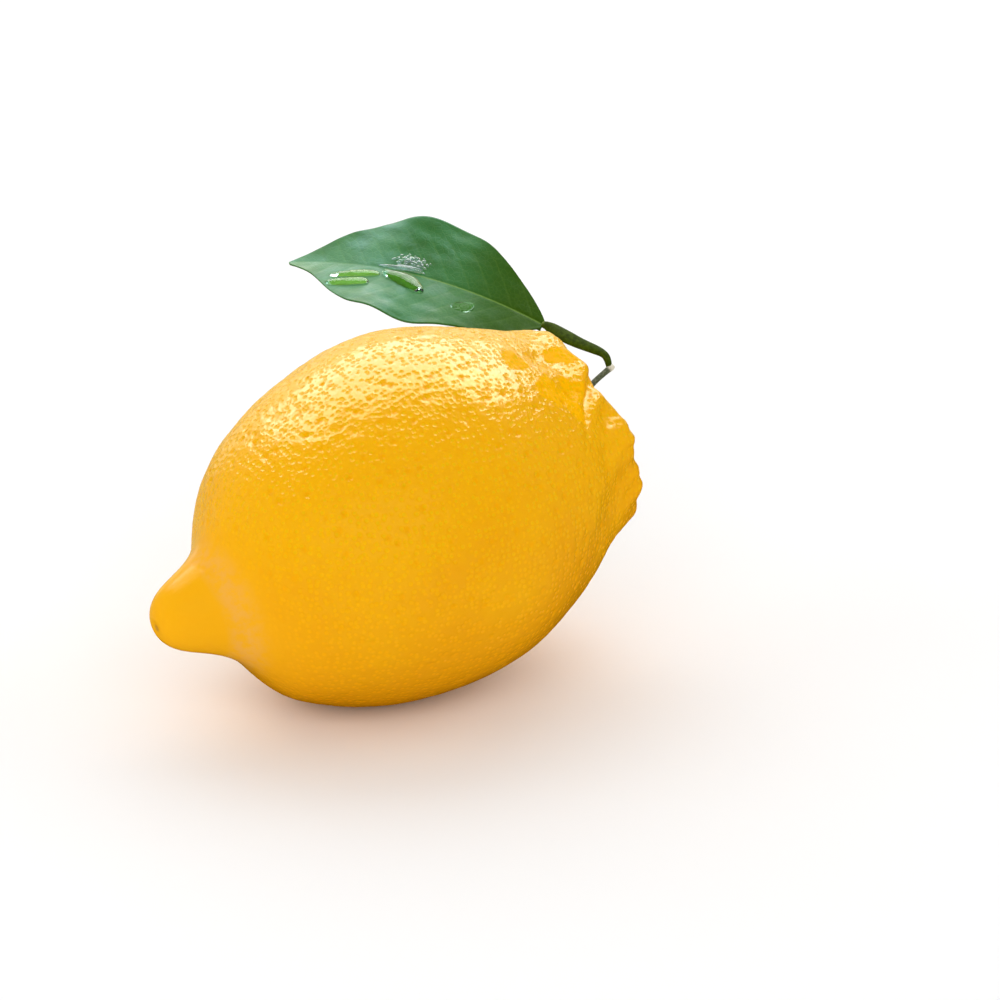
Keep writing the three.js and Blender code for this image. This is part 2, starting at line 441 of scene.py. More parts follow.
@dataclass(frozen=True)
class Fruit:
    """The fruit: nipple, belly and neck, which grew as one body.

    The fades are ramps of the skin's unevenness over the nipple's cone, in nipple lengths, over the height
    and towards the neck. A crease fades from a share of its reach on, and near the axis, within the neck.
    """

    tilt: float = 11.6
    balance_along: float = 46.35
    rest_height: float = 28.75
    weld: float = 0.01
    voxel: float = 0.45
    smoothing: float = 0.5
    smoothing_rounds: int = 6
    nipple_length: float = 14.0
    nipple_lift: float = 1.0
    nipple_regrowth: float = 0.55
    scar_depth: float = 0.35
    scar_half_width: float = 0.7
    cone_fade: Ramp = Ramp(0.75, 1.25, 0.15, 1.0)
    height_fade: Ramp = Ramp(6.0, 36.0, 0.4, 1.0)
    neck_fade: Ramp = Ramp(58.0, 81.0, 0.4, 1.0)
    glands: Pits = Pits(spacing=0.97, floor=0.18, edge=0.55, depth=0.07, evenness=0.42)
    gland_share: float = 0.45
    dimples: Pits = Pits(spacing=2.5, floor=0.1, edge=0.3, depth=0.22)
    ripple_height: float = 0.29
    ripple_size: float = 2.8
    swell_height: float = 0.88
    swell_size: float = 8.0
    hollow_depth: float = 0.3
    hollow_half_width: float = 1.2
    hollow_edge: Span = (0.7, 1.15)
    hollow_wander: float = 6.0
    hollow_wander_size: float = 3.0
    hollows: tuple[Hollow, ...] = (
        Hollow((15.7, -8.6, 54.8), 2.6),
        Hollow((21.0, -6.7, 54.0), 1.8),
        Hollow((26.6, -4.8, 52.6), 3.0),
        Hollow((19.6, -13.8, 50.6), 3.7),
        Hollow((24.6, -12.2, 49.7), 3.3),
        Hollow((22.9, -15.4, 47.6), 2.4),
    )
    rim_along: float = 81.0
    crease_fade_from: float = 0.3
    crease_radii: Span = (5.0, 9.0)
    creases: tuple[Crease, ...] = (
        Crease(28.5, 1.0, 2.6, 12, 3.4),
        Crease(46.5, -0.8, 4.0, 9, 0.6),
        Crease(44, -0.5, 4.0, 15, -2.0),
        Crease(34, -0.9, 6.0, 6.5, 0.3),
        Crease(16, -0.7, 6.0, 9, 0.0),
        Crease(36, 0.4, 4.0, 14, 0.3),
        Crease(6, 0.35, 2.2, 9, -0.5),
        Crease(70, 0.5, 2.8, 11, 0.4),
        Crease(80, 0.3, 2.0, 6, -0.8),
        Crease(101, 0.5, 2.6, 9, 0.7),
        Crease(134, 0.45, 2.8, 12, -0.6),
        Crease(165, 0.4, 2.5, 8, 0.5),
        Crease(178, 0.35, 2.4, 10, -0.4),
        Crease(206, 0.5, 2.8, 9, 0.6),
        Crease(236, 0.45, 2.4, 12, -0.5),
        Crease(268, 0.4, 2.6, 8, 0.8),
        Crease(303, 0.5, 2.6, 11, -0.4),
        Crease(343, 0.4, 2.4, 8, 0.5),
    )

    @property
    def axis(self) -> Vector:
        """The direction of the fruit's axis, from its nipple to its neck."""
        turn = math.radians(self.tilt)
        return Vector((math.cos(turn), 0.0, math.sin(turn)))

    @property
    def tip(self) -> Vector:
        """The place of the nipple's tip in millimetres."""
        return self.on_axis(0.0) + Vector((-self.axis.z, 0.0, self.axis.x)) * self.nipple_lift

    def on_axis(self, along: float) -> Vector:
        """Gives a point of the fruit's axis in millimetres."""
        return UP * self.rest_height + self.axis * (along - self.balance_along)

    def axis_nodes(self, nodes: Nodes, place: Socket) -> Socket:
        """Gives the distance along the axis in a node tree, in millimetres."""
        start = self.balance_along - self.rest_height * self.axis.z
        return nodes.total(nodes.across(place, self.axis), start)

    def body_share(self, nodes: Nodes, place: Socket, along: Socket) -> Socket:
        """Fades the skin's unevenness over the nipple's smooth cone, and partly towards the underside."""
        beyond = nodes.rise(along, *self.cone_fade.scaled(self.nipple_length))
        return nodes.product(beyond, nodes.rise(nodes.across(place, UP), *self.height_fade))

    def hollow_share(self, nodes: Nodes, place: Socket) -> Socket:
        """Gives 1 in the skin's smooth hollows and 0 away from them.

        Args:
            nodes: The material's tree.
            place: The skin's own coordinates.

        Returns:
            How far in a hollow each place is.
        """
        uneven = nodes.product(nodes.wander(place, self.hollow_wander_size, 3.0), self.hollow_wander * MM)
        shares = []
        for one in self.hollows:
            inner, outer = (edge * one.reach * MM for edge in self.hollow_edge)
            shares.append(nodes.fall(nodes.total(nodes.apart(place, one.middle), uneven), inner, outer))
        return reduce(partial(nodes.maths, "MAXIMUM"), shares)

    def axis_places(self, places: np.ndarray) -> tuple[np.ndarray, np.ndarray, np.ndarray]:
        """Turns places into the fruit's own coordinates.

        Args:
            places: One row of x, y and z in millimetres for each place.

        Returns:
            The distances along the axis, the distances from it and the angles round it.
        """
        turn = math.radians(self.tilt)
        x, y, z = places.T
        z = z - self.rest_height
        along = x * math.cos(turn) + z * math.sin(turn) + self.balance_along
        upward = z * math.cos(turn) - x * math.sin(turn)
        return along, np.hypot(y, upward), np.degrees(np.arctan2(-y, upward))

    def skin_from(self, node: Piece) -> Piece:
        """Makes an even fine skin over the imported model's plain fruit.

        Args:
            node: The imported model's fruit.

        Returns:
            The new piece.
        """
        piece = node.copy()
        piece.data = node.data.copy()
        for key in list(piece.keys()):
            del piece[key]
        piece.name = "lemon_fruit"
        piece.parent = None
        bpy.context.scene.collection.objects.link(piece)
        with editing(piece):
            bpy.ops.mesh.remove_doubles(threshold=self.weld * MM)
            bpy.ops.mesh.tris_convert_to_quads()
        apply_modifier(piece, "SUBSURF", levels=2, render_levels=2)
        apply_modifier(piece, "REMESH", mode="VOXEL", voxel_size=self.voxel * MM)
        apply_modifier(piece, "SMOOTH", factor=self.smoothing, iterations=self.smoothing_rounds)
        return piece

    def crease(self, piece: Piece) -> None:
        """Presses the creases into the neck, the hollows beside it and a small scar into the nipple's tip.

        Args:
            piece: The skin.
        """
        places = places_of(piece)
        along, radius, angle = self.axis_places(places)
        back = np.clip(self.rim_along - along, 0.0, None)
        depth = np.zeros(len(places))
        for one in self.creases:
            aside = np.abs((angle - one.angle - one.turn * back + 180.0) % 360.0 - 180.0)
            fade = 1.0 - smoothstep(back, self.crease_fade_from * one.reach, one.reach)
            depth += one.depth * bell(aside / one.half_width) * fade
        depth *= smoothstep(radius, *self.crease_radii)
        for one in self.hollows:
            half_width = self.hollow_half_width * one.reach
            depth += self.hollow_depth * bell(distances_to(places, one.middle) / half_width)
        depth += self.scar_depth * bell(distances_to(places, self.tip) / self.scar_half_width)
        depth -= self.nipple_regrowth * (1.0 - smoothstep(along, 0.0, self.nipple_length))
        set_places(piece, places - vertex_rows(piece, "normal") * depth[:, None])

    def relief(self) -> bpy.types.NodeTree:
        """Makes the nodes that keep the skin's own coordinates and raise its relief.

        Returns:
            The modifier's node group.
        """
        group = bpy.data.node_groups.new("rind_relief", "GeometryNodeTree")
        for way in ("INPUT", "OUTPUT"):
            group.interface.new_socket("Geometry", in_out=way, socket_type="NodeSocketGeometry")
        nodes = Nodes(group)
        skin = nodes.add("NodeGroupInput").outputs[0]
        place = nodes.add("GeometryNodeInputPosition").outputs[0]
        normal = nodes.add("GeometryNodeInputNormal").outputs[0]
        stored = {"Geometry": skin, "Name": PLACE_ATTRIBUTE, "Value": place}
        kept = nodes.add("GeometryNodeStoreNamedAttribute", stored, data_type="FLOAT_VECTOR").outputs[0]

        along = self.axis_nodes(nodes, place)
        body = self.body_share(nodes, place, along)
        ripple = nodes.wander(place, self.ripple_size, 2.0)
        swell = nodes.wander(place, self.swell_size, 1.0)
        neck = nodes.rise(along, *self.neck_fade)
        height = nodes.total(
            nodes.product(self.dimples.depression(nodes, place), body, -self.dimples.depth),
            nodes.product(self.glands.depression(nodes, place), body, -self.gland_share * self.glands.depth),
            nodes.product(ripple, body, self.ripple_height),
            nodes.product(swell, body, neck, self.swell_height),
        )
        scaled = {0: normal, "Scale": nodes.product(height, MM)}
        offset = nodes.add("ShaderNodeVectorMath", scaled, operation="SCALE").outputs[0]
        raised = nodes.add("GeometryNodeSetPosition", {"Geometry": kept, "Offset": offset})
        nodes.add("NodeGroupOutput", {0: raised.outputs[0]})
        return group

    def rest(self, piece: Piece) -> None:
        """Flattens what would lie below the surface that the fruit rests on."""
        lowest = (-np.inf, -np.inf, 0.0)
        set_places(piece, np.maximum(places_of(piece), lowest))

    def build(self, node: Piece) -> Piece:
        """Makes the fruit.

        Args:
            node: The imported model's fruit.

        Returns:
            The finished mesh, with no material.
        """
        piece = self.skin_from(node)
        self.crease(piece)
        apply_modifier(piece, "NODES", node_group=self.relief())
        self.rest(piece)
        smooth_shading(piece)
        return piece


@dataclass(frozen=True)
class Rind:
    """The finish of the fruit: waxy yellow skin, pitted, with painted shade that makes it deeper orange lower
    down and in its dimples, and painted light that makes it yellower on top.

    Its ramps run over a height, over the distance along the axis, or over the depth of a pit, a hollow or
    a dimple. The ring is painted sheen: a paler, greyer band, broken by streaks, where the nipple meets the
    belly.
    """

    # Painted light and shade: yellow is laid on top, orange low down and in the dimples. Orange is also the
    # random grain's own tone.
    yellow: Colour = (0.9, 0.437, 0.001)
    orange: Colour = (0.87, 0.375, 0.001)
    pit: Colour = (0.9, 0.44, 0.001)
    gland: Colour = (0.66, 0.46, 0.004)
    hollow: Colour = (0.97, 0.465, 0.001)
    # Painted shading: the neck's hollows are coloured a fuller, brighter orange, the look of skin that
    # catches no highlight.
    nipple: Colour = (0.88, 0.42, 0.008)
    # Painted sheen: the paler, greyer colour of the ring where the nipple meets the belly.
    ring: Colour = (0.84, 0.41, 0.08)
    scar: Colour = (0.45, 0.2, 0.03)
    glint: Colour = (1.0, 0.9, 0.56)
    # Painted shading: how much of that orange the hollows get.
    hollow_share: float = 0.9
    grain_share: float = 0.4
    # Painted shade in the dimples: how much deeper orange they are coloured.
    dimple_shade: float = 0.7
    pit_share: float = 0.3
    gland_share: float = 0.4
    # Painted light and shade: the heights over which the skin goes from orange below to yellow on top. Random
    # blotches of tone move them.
    painted_light_and_tone_height: Ramp = Ramp(12.0, 46.0)
    ripe_wander: float = 60.0
    ripe_wander_size: float = 15.0
    # Painted light: the heights over which the pits' and glands' colours fade in, so that they show only on
    # the lit upper side.
    lit_height: Ramp = Ramp(20.0, 48.0, 0.2, 1.0)
    nipple_end: Ramp = Ramp(8.0, 18.0, 0.8, 0.0)
    ring_start: Ramp = Ramp(7.5, 9.5)
    ring_end: Ramp = Ramp(10.5, 13.5, 1.0, 0.0)
    scar_end: Ramp = Ramp(0.3, 0.9, 0.7, 0.0)
    grain: Ramp = Ramp(0.42, 0.72)
    grain_size: float = 1.3
    streaks: Ramp = Ramp(0.35, 0.6, 0.1, 0.6)
    streak_size: float = 1.6
    gloss: float = 0.14
    gloss_loss_by_wax: float = 0.08
    gloss_loss_in_pits: float = 0.15
    wax_size: float = 2.2
    unevenness_size: float = 1.8
    unevenness_depth: float = 0.2
    shine_in_pits: Ramp = Ramp(0.05, 0.5, 0.75, 0.08)
    shine_past_nipple: Ramp = Ramp(9.0, 20.0, 0.12, 1.0)
    shine_by_neck: Ramp = Ramp(60.0, 76.0, 1.0, 0.65)
    shine_in_hollows: Ramp = Ramp(0.0, 0.7, 1.0, 0.03)
    shine_in_dimples: Ramp = Ramp(0.1, 0.8, 1.0, 0.25)

    def material(self, fruit: Fruit) -> Material:
        """Makes the material for a fruit.

        Args:
            fruit: The fruit whose skin coordinates and pits it follows.

        Returns:
            The material.
        """
        material, nodes = new_material("rind")
        place = nodes.add("ShaderNodeAttribute", attribute_name=PLACE_ATTRIBUTE).outputs["Vector"]
        along = fruit.axis_nodes(nodes, place)
        body = fruit.body_share(nodes, place, along)
        pits = nodes.product(fruit.glands.depression(nodes, place), body)
        dimples = nodes.product(fruit.dimples.depression(nodes, place), body)
        hollow = fruit.hollow_share(nodes, place)

        height = nodes.across(place, UP)
        # Painted light and shade: the skin is painted orange low down and yellow higher up, and random
        # blotches shift where it changes.
        blotches = nodes.product(nodes.wander(place, self.ripe_wander_size, 3.0, 0.55), self.ripe_wander)
        painted_light_and_tone = nodes.rise(nodes.total(height, blotches), *self.painted_light_and_tone_height)
        grain = nodes.rise(nodes.noise(place, self.grain_size, 3.0, 0.6), *self.grain)
        # Painted light: the pits' yellow and the glands' olive are painted only higher up, on the lit side,
        # and left out lower down.
        pit_marks_where_lit = nodes.product(pits, nodes.rise(height, *self.lit_height))
        # Painted sheen: a paler, greyer band of streaks is painted where the nipple meets the belly.
        streaks = nodes.rise(nodes.noise(place, self.streak_size, 3.0, 0.6), *self.streaks)
        sheen_band = nodes.product(nodes.rise(along, *self.ring_start), nodes.rise(along, *self.ring_end), streaks)
        colour = nodes.coats(
            nodes.mix(painted_light_and_tone, self.orange, self.yellow),
            (nodes.rise(along, *self.nipple_end), self.nipple),
            # Painted shading: the hollows get a fuller, brighter orange, as skin that catches no highlight
            # looks.
            (nodes.product(hollow, self.hollow_share), self.hollow),
            (nodes.product(grain, body, self.grain_share), self.orange),
            # Painted shade: the dimples are coloured a deeper orange.
            (nodes.product(dimples, self.dimple_shade), self.orange),
            (nodes.product(pit_marks_where_lit, self.pit_share), self.pit),
            (nodes.product(pit_marks_where_lit, pits, pits, self.gland_share), self.gland),
            (sheen_band, self.ring),
            (nodes.rise(nodes.apart(place, fruit.tip), *self.scar_end.scaled(MM)), self.scar),
        )
        relief = nodes.bump(nodes.inverse(pits), fruit.glands.depth)
        uneven = nodes.product(nodes.noise(place, self.unevenness_size, 2.0), body)
        relief = nodes.bump(uneven, self.unevenness_depth, relief)
        wax = nodes.product(nodes.noise(place, self.wax_size, 2.0), self.gloss_loss_by_wax)
        shine = nodes.product(
            nodes.rise(pits, *self.shine_in_pits),
            nodes.rise(along, *self.shine_past_nipple),
            nodes.rise(along, *self.shine_by_neck),
            nodes.rise(hollow, *self.shine_in_hollows),
            nodes.rise(dimples, *self.shine_in_dimples),
        )
        nodes.surface(
            base_color=colour,
            roughness=nodes.total(self.gloss, wax, nodes.product(pits, self.gloss_loss_in_pits)),
            specular_ior_level=shine,
            specular_tint=self.glint,
            subsurface_weight=0.1,
            subsurface_radius=(1.0, 0.45, 0.08),
            subsurface_scale=1.0 * MM,
            normal=relief,
        )
        return material


# ---- Leaf ----


@dataclass(frozen=True)
class HalfBlade:
    """One half of the leaf's outline, wavy at its margin, with a swelling of its own somewhere along it."""

    width: float
    lean: float
    fullness: float
    wave_phase: float
    swelling: float
    swelling_at: float


@dataclass(frozen=True)
class BladeShape:
    """The form of the leaf's blade. t runs from base to tip, and v from far margin (-1) to near margin (1).

    Side veins slant away from the midrib. They start over a distance from it and end over a share of the
    width.
    """

    base: Place = (34.3, 11.7, 49.9)
    yaw: float = 130.0
    pitch: float = 7.6
    roll: float = 22.5
    length: float = 44.2
    arch: float = 4.3
    fold: float = 10.0
    fold_rounding: float = 0.55
    base_half_width: float = 0.7
    tip_half_width: float = 0.1
    tip_taper: float = 0.24
    tip_taper_reach: Span = (0.78, 0.95)
    far: HalfBlade = HalfBlade(
        width=11.4, lean=0.88, fullness=1.0, wave_phase=0.55, swelling=-0.4, swelling_at=0.2
    )
    near: HalfBlade = HalfBlade(
        width=11.6, lean=0.86, fullness=0.95, wave_phase=0.35, swelling=0.8, swelling_at=0.68
    )
    swelling_reach: float = 0.07
    margin_wave: float = 0.7
    waves: float = 3.1
    vein_spacing: float = 3.6
    vein_slant: float = 0.62
    vein_bend: float = 0.02
    vein_start: Span = (0.2, 0.8)
    vein_end: Span = (0.55, 0.95)
    normal_step: float = 0.004

    @property
    def turn(self) -> np.ndarray:
        """The blade's turn from its own axes to the frame's."""
        angles = (-self.roll, -self.pitch, self.yaw)
        return np.array(Euler([math.radians(angle) for angle in angles]).to_matrix())

    def half(self, v: np.ndarray, far: float, near: float) -> np.ndarray:
        """Takes one number on the far half and another on the near half."""
        return np.where(v < 0.0, far, near)

    def across(self, t: np.ndarray, v: np.ndarray) -> np.ndarray:
        """Gives distances from the midrib, below zero on the far half.

        Args:
            t: The places' shares of the length.
            v: The places' shares of the width.

        Returns:
            The distances in millimetres.
        """
        far, near = self.far, self.near
        least = self.base_half_width + (self.tip_half_width - self.base_half_width) * t
        width = self.half(v, far.width, near.width)
        arc = np.sin(np.pi * np.clip(t, 0.0, 1.0) ** self.half(v, far.lean, near.lean))
        rise = np.clip(arc, 0.0, 1.0) ** self.half(v, far.fullness, near.fullness)
        taper = 1.0 - self.tip_taper * smoothstep(t, *self.tip_taper_reach)
        beside = (t - self.half(v, far.swelling_at, near.swelling_at)) / self.swelling_reach
        swelling = self.half(v, far.swelling, near.swelling) * bell(beside)
        return v * (least + (width - least) * rise * taper + swelling)

    def local(self, t: np.ndarray, v: np.ndarray) -> np.ndarray:
        """Gives places on the upper side in the blade's own axes.

        Args:
            t: The places' shares of the length.
            v: The places' shares of the width.

        Returns:
            One row of x, y and z in millimetres for each place.
        """
        y = self.across(t, v)
        fold = (np.hypot(y, self.fold_rounding) - self.fold_rounding) * math.tan(math.radians(self.fold))
        phase = self.half(v, self.far.wave_phase, self.near.wave_phase)
        waves = np.sin(2.0 * np.pi * (self.waves * t + phase))
        wave = self.margin_wave * v * v * np.sin(np.pi * t) * waves
        return np.stack([t * self.length, y, 4.0 * self.arch * t * (1.0 - t) + fold + wave], axis=-1)

    def above(self, t: np.ndarray, v: np.ndarray, height: np.ndarray) -> np.ndarray:
        """Gives places in the frame at a height over the upper side.

        Args:
            t: The places' shares of the length.
            v: The places' shares of the width.
            height: How far each stands off, square to the blade.

        Returns:
            One row of x, y and z in millimetres for each place.
        """
        step = self.normal_step
        lengthways = self.local(t + step, v) - self.local(t - step, v)
        crossways = self.local(t, v + step) - self.local(t, v - step)
        raised = self.local(t, v) + unit_rows(np.cross(lengthways, crossways)) * height[:, None]
        return raised @ self.turn.T + np.array(self.base)

    def vein(self, t: np.ndarray, v: np.ndarray, half_width: float) -> np.ndarray:
        """Gives 1 on the middle line of a side vein and 0 between the veins.

        Args:
            t: The places' shares of the length.
            v: The places' shares of the width.
            half_width: The veins' half width in millimetres.

        Returns:
            How strong the vein is at each place.
        """
        aside = np.abs(self.across(t, v))
        back = t * self.length - self.vein_slant * aside - self.vein_bend * aside * aside
        phase = back / self.vein_spacing + self.half(v, 0.5, 0.0)
        apart = np.abs(phase - np.round(phase)) * self.vein_spacing
        reach = smoothstep(aside, *self.vein_start) * (1.0 - smoothstep(np.abs(v), *self.vein_end))
        return bell(apart / half_width) * reach


@dataclass(frozen=True)
class LeafBlade:
    """The leaf's blade: a glossy upper side with sunk veins, and a paler underside with raised ones.

    Groove and rib lose a share of their size towards the tip. The dents are soft waves over the blade, each
    with a number that says how close they follow one another and a second that shifts or slants them.
    """

    shape: BladeShape = field(default_factory=BladeShape)
    thickness: float = 0.45
    margin_thickness: float = 0.28
    margin_reach: Span = (0.75, 1.0)
    rows: int = 210
    columns: int = 108
    groove_depth: float = 0.16
    groove_half_width: float = 0.28
    groove_loss: float = 0.75
    vein_depth: float = 0.03
    vein_half_width: float = 0.22
    quilting: float = 0.04
    quilting_half_width: float = 0.9
    dent_depth: float = 0.09
    dents_across: Span = (1.9, 2.0)
    dents_along: Span = (21.0, 0.35)
    rib_height: float = 0.75
    rib_height_loss: float = 0.88
    rib_half_width: float = 0.55
    rib_width_loss: float = 0.7
    under_vein_height: float = 0.14
    under_vein_half_width: float = 0.25
    uv_map: str = "blade_places"

    def upper_relief(self, t: np.ndarray, v: np.ndarray) -> np.ndarray:
        """Gives the upper side's small heights: the midrib's groove, sunk side veins, puckers and dents.

        Args:
            t: The places' shares of the length.
            v: The places' shares of the width.

        Returns:
            The heights in millimetres.
        """
        y = self.shape.across(t, v)
        groove = self.groove_depth * bell(y / self.groove_half_width) * (1.0 - self.groove_loss * t)
        veins = self.vein_depth * self.shape.vein(t, v, self.vein_half_width)
        puckers = self.quilting * (0.5 - self.shape.vein(t, v, self.quilting_half_width))
        across = np.sin(self.dents_across[0] * y + self.dents_across[1])
        dents = self.dent_depth * across * np.sin(self.dents_along[0] * t + self.dents_along[1] * y)
        return (puckers + dents * np.abs(v)) * np.sin(np.pi * t) - groove - veins

    def lower_relief(self, t: np.ndarray, v: np.ndarray) -> np.ndarray:
        """Gives how far the veins stand out of the underside.

        Args:
            t: The places' shares of the length.
            v: The places' shares of the width.

        Returns:
            The heights in millimetres.
        """
        half_width = self.rib_half_width * (1.0 - self.rib_width_loss * t)
        rib = bell(self.shape.across(t, v) / half_width) * (1.0 - self.rib_height_loss * t)
        veins = self.under_vein_height * self.shape.vein(t, v, self.under_vein_half_width)
        return self.rib_height * rib + veins

    def build(self) -> Piece:
        """Makes the blade.

        Returns:
            The finished mesh. Its underside's faces take the second material.
        """
        settings = {"x_subdivisions": self.rows, "y_subdivisions": self.columns, "size": 2.0}
        piece = new_piece("lemon_leaf_blade", bpy.ops.mesh.primitive_grid_add, **settings)
        grid = places_of(piece) * MM
        t = 0.5 + 0.5 * grid[:, 0]
        v = grid[:, 1]
        set_places(piece, self.shape.above(t, v, self.upper_relief(t, v)))
        self.lay_uv(piece, t * self.shape.length, self.shape.across(t, v))
        sides = {"offset": -1.0, "material_offset": 1, "material_offset_rim": 0}
        apply_modifier(piece, "SOLIDIFY", thickness=self.thickness * MM, **sides)
        self.shape_underside(piece, t, v)
        smooth_shading(piece)
        return piece

    def lay_uv(self, piece: Piece, along: np.ndarray, across: np.ndarray) -> None:
        """Writes the distances along and across the blade as its UV map, in leaf lengths.

        Args:
            piece: The blade.
            along: Each vertex's distance from the leaf's base in millimetres.
            across: Its distance from the midrib, below zero on the far half.
        """
        corners = np.zeros(len(piece.data.loops), np.int32)
        piece.data.loops.foreach_get("vertex_index", corners)
        layer = piece.data.uv_layers[0]
        layer.name = self.uv_map
        spread = np.stack([along[corners], 0.5 * self.shape.length + across[corners]], axis=-1)
        layer.data.foreach_set("uv", (spread / self.shape.length).astype(np.float32).ravel())

    def shape_underside(self, piece: Piece, t: np.ndarray, v: np.ndarray) -> None:
        """Thins the margins and raises the veins of the underside, whose vertices follow the upper side's.

        Args:
            piece: The blade with its thickness.
            t: The upper vertices' shares of the length.
            v: The upper vertices' shares of the width.
        """
        places = places_of(piece)
        count = len(t)
        thin = (self.thickness - self.margin_thickness) * smoothstep(np.abs(v), *self.margin_reach)
        height = self.thickness - thin + self.lower_relief(t, v)
        upper = places[:count]
        down = unit_rows(places[count : 2 * count] - upper)
        places[count : 2 * count] = upper + down * height[:, None]
        set_places(piece, places)


@dataclass(frozen=True)
class WaterFilm:
    """A flat patch of water on the blade: a closed dome whose rim thins out to nothing.

    Its middle is given in millimetres from the leaf's base and from the midrib, and so is its size. Its
    outline has lobes, each with a number, a size and a phase. The stain is the colour of the wet blade
    below it. A share of the water, from 0 to 1, is a diffuse pale tint instead of clear, as painted sparkle.
    """

    name: str
    along: float
    across: float
    half_length: float
    half_width: float
    turn: float
    height: float
    ripple_size: float
    ripple_depth: float
    lobes: tuple[tuple[int, float, float], ...] = ()
    stain: Colour = WHITE
    ior: float = 1.4
    # Painted sparkle: the share of the water that is a diffuse pale tint instead of clear.
    painted_sparkle: float = 0.0
    segments: int = 72
    # The pale tint colours the clear water and the painted sparkle.
    tint: Colour = (0.78, 0.96, 0.98)
    roughness: float = 0.03
    steepness: float = 0.7
    sole: float = 0.12
    clearance: float = 0.03

    def material(self) -> Material:
        """Makes the material of the water, with ripples on it.

        Returns:
            The material.
        """
        material, nodes = new_material(self.name)
        ripples = nodes.noise(nodes.own_place(), self.ripple_size, 2.0)
        nodes.surface(
            base_color=self.tint,
            roughness=self.roughness,
            ior=self.ior,
            # Painted sparkle: the diffuse share makes the water look white.
            transmission_weight=1.0 - self.painted_sparkle,
            normal=nodes.bump(ripples, self.ripple_depth),
        )
        return material

    def build(self, shape: BladeShape) -> Piece:
        """Makes the patch.

        Args:
            shape: The form of the blade that it lies on.

        Returns:
            The finished mesh.
        """
        sphere = {"segments": self.segments, "ring_count": 2 * (self.segments // 5), "radius": 1.0}
        piece = new_piece(self.name, bpy.ops.mesh.primitive_uv_sphere_add, **sphere)
        ball = places_of(piece) * MM
        around = np.arctan2(ball[:, 1], ball[:, 0])
        swell = 1.0 + sum(size * np.sin(number * around + phase) for number, size, phase in self.lobes)
        turn = math.radians(self.turn)
        x = ball[:, 0] * self.half_length * swell
        y = ball[:, 1] * self.half_width * swell
        along = self.along + x * math.cos(turn) - y * math.sin(turn)
        across = self.across + x * math.sin(turn) + y * math.cos(turn)
        t = along / shape.length
        v = across / np.abs(shape.across(t, np.sign(across) + (across == 0.0)))
        dome = self.height * np.clip(ball[:, 2], 0.0, None) ** self.steepness
        height = np.where(ball[:, 2] > 0.0, dome, self.sole * ball[:, 2])
        set_places(piece, shape.above(t, v, height + self.clearance))
        smooth_shading(piece)
        return piece


@dataclass(frozen=True)
class DropCluster:
    """Small drops scattered over a patch of the blade, smaller towards its edge."""

    patch: WaterFilm
    count: int = 26
    largest: float = 0.7
    smallest: float = 0.28
    unevenness: float = 0.08
    slenderness: float = 0.7
    turn_step: float = 2.4

    def build(self, shape: BladeShape) -> Piece:
        """Makes the drops as one mesh.

        Args:
            shape: The form of the blade that they lie on.

        Returns:
            The finished mesh.
        """
        drops = []
        for number in range(self.count):
            reach = math.sqrt((number + 0.5) / self.count)
            turn = self.turn_step * number
            size = self.largest + (self.smallest - self.largest) * reach
            size += self.unevenness * math.sin(3.7 * number)
            drop = replace(
                self.patch,
                along=self.patch.along + self.patch.half_length * reach * math.cos(turn),
                across=self.patch.across + self.patch.half_width * reach * math.sin(turn),
                half_length=size,
                half_width=self.slenderness * size,
                height=self.patch.height * size,
                lobes=((2, 0.15, turn), (3, 0.1, 2.0 * turn)),
            )
            drops.append(drop.build(shape))
        take_up(*drops)
        bpy.ops.object.join()
        drops[0].name = self.patch.name
        return drops[0]


